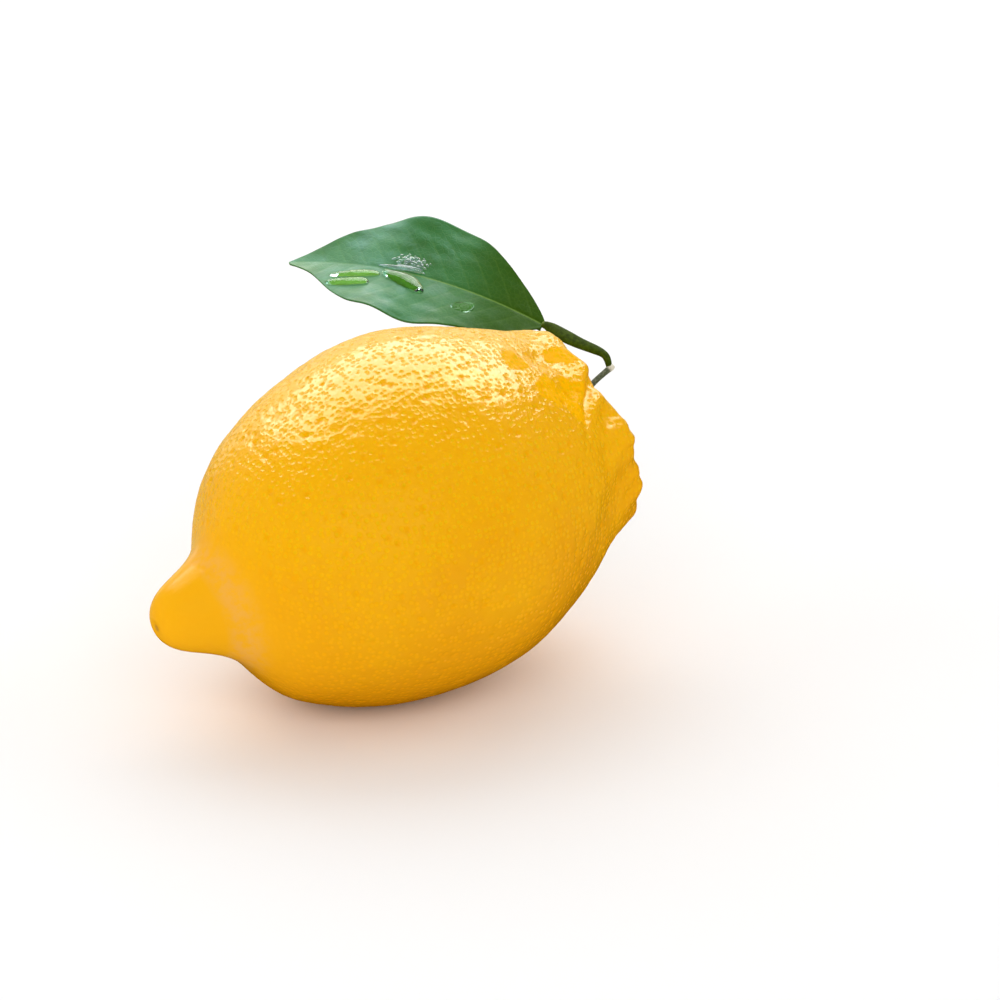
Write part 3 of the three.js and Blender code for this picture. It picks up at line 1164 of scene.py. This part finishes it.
@dataclass
class BladeSkin:
    """A material in the making, and the distances along and across the blade that its patterns follow."""

    name: str
    blade: LeafBlade
    net_size: float = 0.9
    net_evenness: float = 0.1
    vein_fade: Span = (6.0, 10.0)
    film_edge: Span = (0.75, 1.15)

    def __post_init__(self) -> None:
        """Starts the material and reads the blade's UV map."""
        self.material, self.nodes = new_material(self.name)
        self.shape = self.blade.shape
        self.place = self.nodes.own_place()
        spread = self.nodes.add("ShaderNodeUVMap", uv_map=self.blade.uv_map).outputs[0]
        parts = self.nodes.add("ShaderNodeSeparateXYZ", {0: spread}).outputs
        self.along = self.nodes.product(parts[0], self.shape.length)
        self.across = self.nodes.product(self.nodes.total(parts[1], -0.5), self.shape.length)

    def by_length(self, ramp: Ramp) -> Socket:
        """Follows a ramp over shares of the blade's length."""
        return self.nodes.rise(self.along, *ramp.scaled(self.shape.length))

    def midrib(self, ramp: Ramp) -> Socket:
        """Follows a ramp over the distance from the midrib."""
        return self.nodes.rise(self.nodes.maths("ABSOLUTE", self.across), *ramp)

    def net(self, line: float) -> Socket:
        """Gives 0 on the net of the finest veins, whose lines have a width in cells, and 1 in its cells."""
        edge = self.nodes.cells(self.place, self.net_size, self.net_evenness, "DISTANCE_TO_EDGE")
        return self.nodes.rise(edge, 0.0, line)

    def side_veins(self, half_width: float) -> Socket:
        """Gives 1 on a side vein and 0 between the veins, as in the mesh.

        Args:
            half_width: The veins' half width in millimetres.

        Returns:
            How strong the vein is.
        """
        nodes, shape = self.nodes, self.shape
        aside = nodes.maths("ABSOLUTE", self.across)
        bent = nodes.product(aside, aside, -shape.vein_bend)
        back = nodes.total(self.along, nodes.product(aside, -shape.vein_slant), bent)
        shift = nodes.product(nodes.maths("LESS_THAN", self.across, 0.0), 0.5)
        phase = nodes.total(nodes.product(back, 1.0 / shape.vein_spacing), shift)
        line = nodes.fall(nodes.maths("PINGPONG", phase, 0.5), 0.0, half_width / shape.vein_spacing)
        return nodes.product(line, nodes.rise(aside, *shape.vein_start), nodes.fall(aside, *self.vein_fade))

    def wetness(self, film: WaterFilm) -> Socket:
        """Gives 1 where the blade is under a patch of water and 0 elsewhere.

        Args:
            film: The patch of water.

        Returns:
            How wet each place is.
        """
        nodes = self.nodes
        cosine = math.cos(math.radians(film.turn))
        sine = math.sin(math.radians(film.turn))
        x = nodes.total(self.along, -film.along)
        y = nodes.total(self.across, -film.across)
        lengthways = nodes.total(nodes.product(x, cosine), nodes.product(y, sine))
        lengthways = nodes.product(lengthways, 1.0 / film.half_length)
        crossways = nodes.total(nodes.product(y, cosine), nodes.product(x, -sine))
        crossways = nodes.product(crossways, 1.0 / film.half_width)
        apart = nodes.total(nodes.product(lengthways, lengthways), nodes.product(crossways, crossways))
        return nodes.fall(apart, *self.film_edge)


@dataclass(frozen=True)
class LeafFinish:
    """The finish of the blade's two sides. Ramps named for the length run over shares of it."""

    base_green: Colour = (0.033, 0.085, 0.003)
    green: Colour = (0.042, 0.165, 0.036)
    # A lighter green, laid towards the tip.
    tip_green: Colour = (0.08, 0.22, 0.06)
    vein: Colour = (0.2, 0.34, 0.06)
    sheen: Colour = (0.42, 0.82, 1.0)
    under: Colour = (0.22, 0.36, 0.12)
    under_vein: Colour = (0.4, 0.52, 0.22)
    green_length: Ramp = Ramp(0.05, 0.45)
    young_length: Ramp = Ramp(0.45, 1.0, 0.0, 0.8)
    midrib_length: Ramp = Ramp(0.4, 0.7, 1.0, 0.25)
    sheen_length: Ramp = Ramp(0.18, 0.7, 0.03, 0.36)
    midrib: Ramp = Ramp(0.06, 0.22, 0.5, 0.0)
    under_midrib: Ramp = Ramp(0.4, 0.9, 1.0, 0.0)
    vein_half_width: float = 0.35
    under_vein_half_width: float = 0.5
    blotches: Ramp = Ramp(0.4, 0.7, 0.0, 0.35)
    patch_roughness: Ramp = Ramp(0.3, 0.7, 0.3, 0.42)
    patch_sheen: Ramp = Ramp(0.3, 0.65, 1.2, 0.7)
    far_half_sheen: Ramp = Ramp(-0.5, 0.5, 1.35, 1.0)
    under_roughness: Ramp = Ramp(0.3, 0.7, 0.55, 0.7)
    blotch_size: float = 5.0
    patch_size: float = 4.0
    texture_size: float = 1.8
    texture_depth: float = 0.06
    vein_share: float = 0.07
    net_share: float = 0.06
    stain_share: float = 0.85
    under_vein_share: float = 0.6
    under_net_share: float = 0.3

    def upper(self, blade: LeafBlade, films: tuple[WaterFilm, ...]) -> Material:
        """Makes the material of the upper side.

        Args:
            blade: The blade that it is for.
            films: The patches of water on it, which stain it and take its sheen.

        Returns:
            The material.
        """
        skin = BladeSkin("leaf_upper_side", blade)
        nodes = skin.nodes
        net = skin.net(0.12)
        blotches = nodes.noise(skin.place, self.blotch_size, 4.0, 0.6)
        wet = [skin.wetness(film) for film in films]
        colour = nodes.coats(
            nodes.mix(skin.by_length(self.green_length), self.base_green, self.green),
            # Lighter green towards the tip.
            (skin.by_length(self.young_length), self.tip_green),
            (nodes.rise(blotches, *self.blotches), self.base_green),
            (nodes.product(skin.side_veins(self.vein_half_width), self.vein_share), self.vein),
            (nodes.product(skin.midrib(self.midrib), skin.by_length(self.midrib_length)), self.vein),
            (nodes.product(nodes.inverse(net), self.net_share), self.vein),
            *((nodes.product(share, self.stain_share), film.stain) for share, film in zip(wet, films)),
        )
        patches = nodes.noise(skin.place, self.patch_size, 3.0)
        sheen = nodes.product(
            skin.by_length(self.sheen_length),
            nodes.rise(patches, *self.patch_sheen),
            nodes.rise(skin.across, *self.far_half_sheen),
            nodes.inverse(reduce(partial(nodes.maths, "MAXIMUM"), wet)),
        )
        texture = nodes.noise(skin.place, self.texture_size, 3.0, 0.6)
        nodes.surface(
            base_color=colour,
            roughness=nodes.rise(patches, *self.patch_roughness),
            specular_ior_level=sheen,
            specular_tint=self.sheen,
            normal=nodes.bump(texture, self.texture_depth, nodes.bump(net, 0.01)),
        )
        return skin.material

    def lower(self, blade: LeafBlade) -> Material:
        """Makes the material of the underside.

        Args:
            blade: The blade that it is for.

        Returns:
            The material.
        """
        skin = BladeSkin("leaf_underside", blade)
        nodes = skin.nodes
        net = skin.net(0.15)
        veins = nodes.product(skin.side_veins(self.under_vein_half_width), self.under_vein_share)
        colour = nodes.coats(
            self.under,
            (nodes.maths("MAXIMUM", skin.midrib(self.under_midrib), veins), self.under_vein),
            (nodes.product(nodes.inverse(net), self.under_net_share), self.under_vein),
        )
        nodes.surface(
            base_color=colour,
            roughness=nodes.rise(nodes.noise(skin.place, 2.0, 3.0), *self.under_roughness),
            specular_ior_level=0.35,
            normal=nodes.bump(net, 0.02),
        )
        return skin.material


# ---- Stalks and calyx ----


class Station(NamedTuple):
    """A place on a stalk's route, with its section's half width and half thickness there."""

    x: float
    y: float
    z: float
    half_width: float
    half_thickness: float


@dataclass(frozen=True)
class Stalk:
    """A stalk: an oval section extruded from station to station, its width lying along one direction."""

    name: str
    route: tuple[Station, ...]
    across: Place
    steps: int = 40
    sides: int = 20

    def build(self) -> Piece:
        """Makes the stalk.

        Returns:
            The finished mesh, closed at both ends.
        """
        fine = smooth_route(np.array(self.route), self.steps)
        sections = []
        for (x, y, z, half_width, half_thickness), tangent in zip(fine, np.gradient(fine[:, :3], axis=0)):
            forward = Vector(tangent).normalized()
            up = forward.cross(Vector(self.across)).normalized()
            side = up.cross(forward)
            sections.append(placing(side * half_width, up * half_thickness, forward, Vector((x, y, z))))
        return sweep(self.name, sections, self.sides)


def placing(right: Vector, up: Vector, forward: Vector, place: Vector) -> Matrix:
    """Gives the matrix that carries a mesh to three axes and a place, all in millimetres."""
    axes = Matrix((right * MM, up * MM, forward * MM)).transposed().to_4x4()
    return Matrix.Translation(place * MM) @ axes


def smooth_route(knots: np.ndarray, steps: int) -> np.ndarray:
    """Runs a smooth curve through knots.

    Args:
        knots: One row of numbers for each knot.
        steps: How many steps the whole curve has.

    Returns:
        One row for each point, with the knots' numbers smoothed between them.
    """
    padded = np.vstack([2.0 * knots[0] - knots[1], knots, 2.0 * knots[-1] - knots[-2]])
    rows = []
    for place in np.linspace(0.0, len(knots) - 1.0, steps + 1):
        first = min(int(place), len(knots) - 2)
        s = place - first
        a, b, c, d = padded[first : first + 4]
        bend = (2.0 * a - 5.0 * b + 4.0 * c - d) * s**2 + (3.0 * b - a - 3.0 * c + d) * s**3
        rows.append(0.5 * (2.0 * b + (c - a) * s + bend))
    return np.array(rows)


def sweep(name: str, sections: list[Matrix], sides: int) -> Piece:
    """Extrudes a disc from section to section.

    Args:
        name: The new piece's name.
        sections: The matrices that carry a unit disc to each section.
        sides: How many sides the disc has.

    Returns:
        A closed mesh.
    """
    circle = {"vertices": sides, "radius": 1.0, "fill_type": "NGON"}
    piece = new_piece(name, bpy.ops.mesh.primitive_circle_add, **circle)
    piece.data.transform(sections[0])
    with editing(piece):
        for before, after in zip(sections, sections[1:]):
            bpy.ops.mesh.extrude_region_move()
            mesh = bmesh.from_edit_mesh(piece.data)
            chosen = [vertex for vertex in mesh.verts if vertex.select]
            bmesh.ops.transform(mesh, matrix=after @ before.inverted(), verts=chosen)
            bmesh.update_edit_mesh(piece.data)
        bpy.ops.mesh.select_all(action="SELECT")
        bpy.ops.mesh.normals_make_consistent(inside=False)
    smooth_shading(piece)
    return piece


@dataclass(frozen=True)
class Calyx:
    """The five-lobed button that holds the fruit, in the hollow of its neck.

    Lobes, ridges and the lifted rim each grow over two distances from the axis. The profile has a height
    over the seat and a radius for each ring.
    """

    seat_along: float = 79.3
    lobes: int = 5
    lobe_length: float = 0.85
    lobe_turn: float = 0.5
    lobe_growth: Span = (1.9, 4.2)
    ridge: float = 0.16
    ridges_per_lobe: int = 4
    ridge_growth: Span = (1.9, 2.6)
    rim_lift: float = 0.35
    rim_growth: Span = (3.4, 5.0)
    sides: int = 100
    profile: tuple[tuple[float, float], ...] = (
        (-0.5, 3.6),
        (-0.1, 4.1),
        (0.2, 4.25),
        (0.45, 4.2),
        (0.65, 3.95),
        (0.8, 3.5),
        (0.88, 3.0),
        (1.0, 2.5),
        (1.2, 2.15),
        (1.45, 1.95),
        (1.7, 1.7),
    )

    def build(self, fruit: Fruit) -> Piece:
        """Makes the calyx.

        Args:
            fruit: The fruit that it sits in.

        Returns:
            The finished mesh.
        """
        right = Vector((0.0, 1.0, 0.0))
        up = fruit.axis.cross(right)
        seat = fruit.on_axis(self.seat_along)
        sections = [placing(right * r, up * r, fruit.axis, seat + fruit.axis * z) for z, r in self.profile]
        piece = sweep("lemon_calyx", sections, self.sides)
        places = places_of(piece)
        _, radius, angle = fruit.axis_places(places)
        turn = self.lobes * np.radians(angle)
        lobe = self.lobe_length * np.cos(turn + self.lobe_turn) * smoothstep(radius, *self.lobe_growth)
        ridges = self.ridge * np.cos(self.ridges_per_lobe * turn) * smoothstep(radius, *self.ridge_growth)
        lift = self.rim_lift * smoothstep(radius + lobe, *self.rim_growth)
        axis = np.array(fruit.axis)
        out = places - np.array(seat)
        out = unit_rows(out - np.outer(out @ axis, axis))
        set_places(piece, places + out * lobe[:, None] + np.outer(ridges + lift, axis))
        apply_modifier(piece, "SUBSURF", levels=1, render_levels=1)
        smooth_shading(piece)
        return piece


@dataclass(frozen=True)
class StalkFinish:
    """The finish of a stalk or of the calyx: fine fibres, and another colour near some place."""

    name: str
    colour: Colour
    dark: Colour
    end_colour: Colour
    end: Place
    end_reach: float
    roughness: float
    grain: float
    specular: float = 0.4
    end_fade: Span = (0.75, 1.3)
    end_raggedness: float = 0.8
    fibres: Ramp = Ramp(0.38, 0.66)
    fibre_depth: float = 0.08

    def material(self) -> Material:
        """Makes the material.

        Returns:
            The material.
        """
        material, nodes = new_material(self.name)
        place = nodes.own_place()
        grain = nodes.noise(place, self.grain, 4.0, 0.65)
        ragged = nodes.product(nodes.total(grain, -0.5), self.end_raggedness * MM)
        inner, outer = (edge * self.end_reach * MM for edge in self.end_fade)
        near = nodes.fall(nodes.total(nodes.apart(place, self.end), ragged), inner, outer)
        fibres = nodes.mix(nodes.rise(grain, *self.fibres), self.dark, self.colour)
        nodes.surface(
            base_color=nodes.mix(near, fibres, self.end_colour),
            roughness=nodes.rise(grain, 0.3, 0.7, self.roughness + 0.1, self.roughness - 0.05),
            specular_ior_level=self.specular,
            normal=nodes.bump(grain, self.fibre_depth),
        )
        return material


# ---- The studio ----

LAMP_POWER = 4.0  # watts for each square metre and unit of radiance, in Blender's area lights


@dataclass(frozen=True)
class Outlook:
    """Where a light or the camera stands: azimuth 0 is towards -Y and 90 towards +X, distances in metres."""

    azimuth: float
    elevation: float
    distance: float

    def set_up(self, name: str, data: bpy.types.ID, aim: Vector) -> bpy.types.Object:
        """Adds a light or a camera that faces a point.

        Args:
            name: The new object's name.
            data: The light or the camera.
            aim: The point that it faces, in metres.

        Returns:
            The new object.
        """
        turn = math.radians(self.azimuth)
        rise = math.radians(self.elevation)
        level = math.cos(rise)
        back = Vector((math.sin(turn) * level, -math.cos(turn) * level, math.sin(rise)))
        thing = bpy.data.objects.new(name, data)
        thing.location = aim + back * self.distance
        thing.rotation_euler = (-back).to_track_quat("-Z", "Y").to_euler()
        bpy.context.scene.collection.objects.link(thing)
        return thing


class Effect(Enum):
    """What a light does: it lights without being reflected, or it is only reflected."""

    GLOW = "glow"
    SHINE = "shine"


@dataclass(frozen=True)
class Softbox:
    """A rectangular soft light."""

    name: str
    effect: Effect
    outlook: Outlook
    width: float
    height: float
    radiance: float
    colour: Colour = WHITE

    def place(self, aim: Vector) -> None:
        """Adds the light.

        Args:
            aim: The point that it faces, in metres.
        """
        light = bpy.data.lights.new(self.name, "AREA")
        light.shape = "RECTANGLE"
        light.size = self.width
        light.size_y = self.height
        light.color = self.colour
        light.energy = self.radiance * LAMP_POWER * self.width * self.height
        lamp = self.outlook.set_up(self.name, light, aim)
        lamp.visible_camera = False
        lamp.visible_diffuse = self.effect is Effect.GLOW
        lamp.visible_glossy = self.effect is Effect.SHINE


@dataclass(frozen=True)
class Studio:
    """A pale floor, a white surround, soft lights and the camera."""

    outlook: Outlook = Outlook(-33.0, 24.0, 0.896)
    target: Place = (16.77, -2.3, 28.0)
    lens: float = 200.0
    sensor_width: float = 36.0
    nearest: float = 0.05
    floor_size: float = 8.0
    floor_colour: Colour = (0.93, 0.93, 0.93)
    surround: float = 0.5
    aim: Place = (0.0, 0.0, 30.0)
    lights: tuple[Softbox, ...] = (
        Softbox("back_box", Effect.GLOW, Outlook(158.0, 50.0, 0.72), 1.05, 0.68, 1.0),
        Softbox("back_box_gloss", Effect.SHINE, Outlook(150.0, 52.0, 0.7), 1.15, 0.72, 3.9),
        Softbox("right_gloss", Effect.SHINE, Outlook(104.0, 54.0, 0.75), 0.5, 0.42, 2.0),
        Softbox("backdrop_gloss", Effect.SHINE, Outlook(148.0, 12.0, 1.0), 1.4, 0.7, 0.7, (1.0, 0.9, 0.6)),
        Softbox("side_gloss", Effect.SHINE, Outlook(175.0, 2.0, 1.05), 2.4, 1.4, 0.5, (1.0, 0.85, 0.4)),
        Softbox("left_panel", Effect.GLOW, Outlook(-115.0, 22.0, 0.8), 0.6, 0.6, 0.85),
        Softbox("right_panel", Effect.GLOW, Outlook(75.0, 22.0, 0.9), 0.6, 0.6, 1.05),
        Softbox("front_fill", Effect.GLOW, Outlook(-33.0, 30.0, 1.2), 1.2, 0.9, 1.55),
    )

    def build(self) -> None:
        """Makes the whole studio."""
        self.camera()
        self.floor()
        self.world()
        for light in self.lights:
            light.place(Vector(self.aim) * MM)
        bpy.context.scene.view_settings.view_transform = "Standard"

    def camera(self) -> None:
        """Adds the camera at its viewing angle."""
        data = bpy.data.cameras.new("camera")
        data.lens = self.lens
        data.sensor_width = self.sensor_width
        data.clip_start = self.nearest
        bpy.context.scene.camera = self.outlook.set_up("camera", data, Vector(self.target) * MM)

    def floor(self) -> None:
        """Lays the pale floor."""
        plane = new_piece("floor", bpy.ops.mesh.primitive_plane_add, size=self.floor_size)
        material, nodes = new_material("floor")
        nodes.surface(base_color=self.floor_colour, roughness=0.9, specular_ior_level=0.1)
        plane.data.materials.append(material)
        plane.visible_glossy = False

    def world(self) -> None:
        """Surrounds the scene with white that lights it softly."""
        world = bpy.data.worlds.new("surround")
        world.use_nodes = True
        world.cycles_visibility.glossy = False
        bpy.context.scene.world = world
        nodes = Nodes(world.node_tree)
        rays = nodes.add("ShaderNodeLightPath").outputs
        seen = nodes.maths("MAXIMUM", rays["Is Camera Ray"], rays["Is Transmission Ray"])
        white = {"Color": WHITE, "Strength": nodes.maths("MAXIMUM", seen, self.surround)}
        background = nodes.add("ShaderNodeBackground", white)
        nodes.add("ShaderNodeOutputWorld", {"Surface": background.outputs[0]})


# ---- The whole ----

TWIG = Stalk(
    "lemon_stalk",
    (
        Station(33.3, -0.1, 35.3, 2.1, 2.1),
        Station(34.3, 0.0, 36.1, 1.6, 1.6),
        Station(35.2, 0.2, 37.5, 0.85, 0.85),
        Station(35.7, 0.8, 39.8, 0.62, 0.62),
        Station(36.2, 1.3, 41.6, 0.52, 0.52),
        Station(38.2, 1.8, 42.7, 0.48, 0.48),
        Station(40.4, 2.3, 43.5, 0.5, 0.5),
        Station(41.3, 2.5, 43.85, 0.62, 0.6),
        Station(41.75, 2.6, 44.05, 0.58, 0.56),
    ),
    (0.0, 1.0, 0.0),
)
LEAF_STALK = Stalk(
    "lemon_leaf_stalk",
    (
        Station(41.15, 2.6, 44.1, 0.55, 0.45),
        Station(41.2, 2.9, 44.6, 0.62, 0.5),
        Station(41.2, 3.35, 45.25, 0.68, 0.52),
        Station(41.0, 3.95, 45.8, 0.72, 0.5),
        Station(40.3, 4.9, 46.3, 0.9, 0.5),
        Station(38.3, 6.9, 47.3, 1.15, 0.45),
        Station(36.8, 8.6, 48.2, 1.35, 0.4),
        Station(35.3, 10.4, 49.3, 1.2, 0.4),
        Station(34.7, 11.2, 49.75, 0.85, 0.45),
        Station(34.2, 11.9, 49.9, 0.6, 0.4),
    ),
    (0.74, 0.54, 0.4),
)
TWIG_FINISH = StalkFinish(
    name="twig_bark",
    colour=(0.13, 0.15, 0.09),
    dark=(0.06, 0.075, 0.035),
    end_colour=(0.72, 0.7, 0.58),
    end=(41.75, 2.6, 44.05),
    end_reach=1.1,
    roughness=0.65,
    grain=0.35,
    specular=0.2,
)
LEAF_STALK_FINISH = StalkFinish(
    name="leaf_stalk_skin",
    colour=(0.055, 0.09, 0.003),
    dark=(0.03, 0.05, 0.002),
    end_colour=(0.2, 0.3, 0.06),
    end=(34.2, 11.9, 49.9),
    end_reach=0.5,
    roughness=0.5,
    grain=0.6,
    specular=0.03,
)
CALYX_FINISH = StalkFinish(
    name="calyx_skin",
    colour=(0.2, 0.24, 0.06),
    dark=(0.1, 0.12, 0.03),
    end_colour=(0.3, 0.28, 0.12),
    end=(33.5, 0.0, 35.5),
    end_reach=1.6,
    roughness=0.6,
    grain=0.5,
)
YELLOW_GREEN = (0.12, 0.24, 0.035)
OLIVE = (0.045, 0.12, 0.008)
DARK_GREEN = (0.022, 0.075, 0.006)
WATER_FILMS = (
    WaterFilm(
        "water_by_tip", along=31.3, across=2.5, half_length=3.9, half_width=0.75, turn=12, height=0.5,
        ripple_size=1.6, ripple_depth=0.08, lobes=((2, 0.1, 0.6), (3, 0.12, 1.0)), stain=YELLOW_GREEN,
    ),
    WaterFilm(
        "water_by_margin", along=31.9, across=4.9, half_length=3.4, half_width=0.85, turn=12, height=0.6,
        ripple_size=1.6, ripple_depth=0.08, lobes=((2, 0.1, 2.6), (3, 0.1, 2.0)), stain=YELLOW_GREEN,
    ),
    WaterFilm(
        "water_on_midrib", along=23.2, across=2.1, half_length=3.5, half_width=1.5, turn=-18, height=0.85,
        ripple_size=1.4, ripple_depth=0.12, lobes=((2, 0.16, 1.8), (3, 0.16, 0.4)), stain=OLIVE,
    ),
    WaterFilm(
        "water_near_base", along=12.4, across=4.4, half_length=1.8, half_width=1.3, turn=25, height=0.1,
        ripple_size=1.2, ripple_depth=0.1, lobes=((2, 0.12, 0.5), (3, 0.14, 2.2)), stain=DARK_GREEN, ior=1.12,
    ),
)
# Its whiteness is painted sparkle, a diffuse share of pale tint.
WATER_STREAK = WaterFilm(
    "water_streak", along=24.2, across=-0.75, half_length=3.4, half_width=0.5, turn=4, height=0.4,
    ripple_size=0.9, ripple_depth=0.1, lobes=((3, 0.2, 1.0), (5, 0.15, 2.0)), ior=1.6, painted_sparkle=0.18,
)
# Their whiteness is painted sparkle, a diffuse share of pale tint.
WATER_DROPS = DropCluster(
    WaterFilm(
        "water_drops", along=23.5, across=-2.3, half_length=3.3, half_width=1.3, turn=-15, height=0.5,
        ripple_size=0.8, ripple_depth=0.02, ior=1.6, painted_sparkle=0.14, segments=24,
    )
)


def build_pieces(nodes: dict[str, Piece]) -> None:
    """Makes every piece of the lemon.

    Args:
        nodes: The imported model's nodes by name.
    """
    fruit = Fruit()
    hand_over(fruit.build(nodes["fruit"]), (Rind().material(fruit),), Slot.RIND, "fruit")
    hand_over(Calyx().build(fruit), (CALYX_FINISH.material(),), Slot.CALYX, "calyx")
    hand_over(TWIG.build(), (TWIG_FINISH.material(),), Slot.TWIG, "stalk")
    hand_over(LEAF_STALK.build(), (LEAF_STALK_FINISH.material(),), Slot.LEAF_STALK, "leaf_stalk")
    blade = LeafBlade()
    finish = LeafFinish()
    leaf = blade.build()
    leaf.visible_glossy = False
    sides = (finish.upper(blade, WATER_FILMS), finish.lower(blade))
    hand_over(leaf, sides, Slot.LEAF, "leaf_blade")
    for film in (*WATER_FILMS, WATER_STREAK):
        hand_over(film.build(blade.shape), (film.material(),), None)
    hand_over(WATER_DROPS.build(blade.shape), (WATER_DROPS.patch.material(),), None)


def main() -> None:
    """Loads the frame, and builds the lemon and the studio."""
    logging.basicConfig(level=logging.INFO, format="%(name)s: %(message)s")
    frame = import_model()
    Studio().build()
    build_pieces(frame["nodes"])


if __name__ == "__main__":
    main()
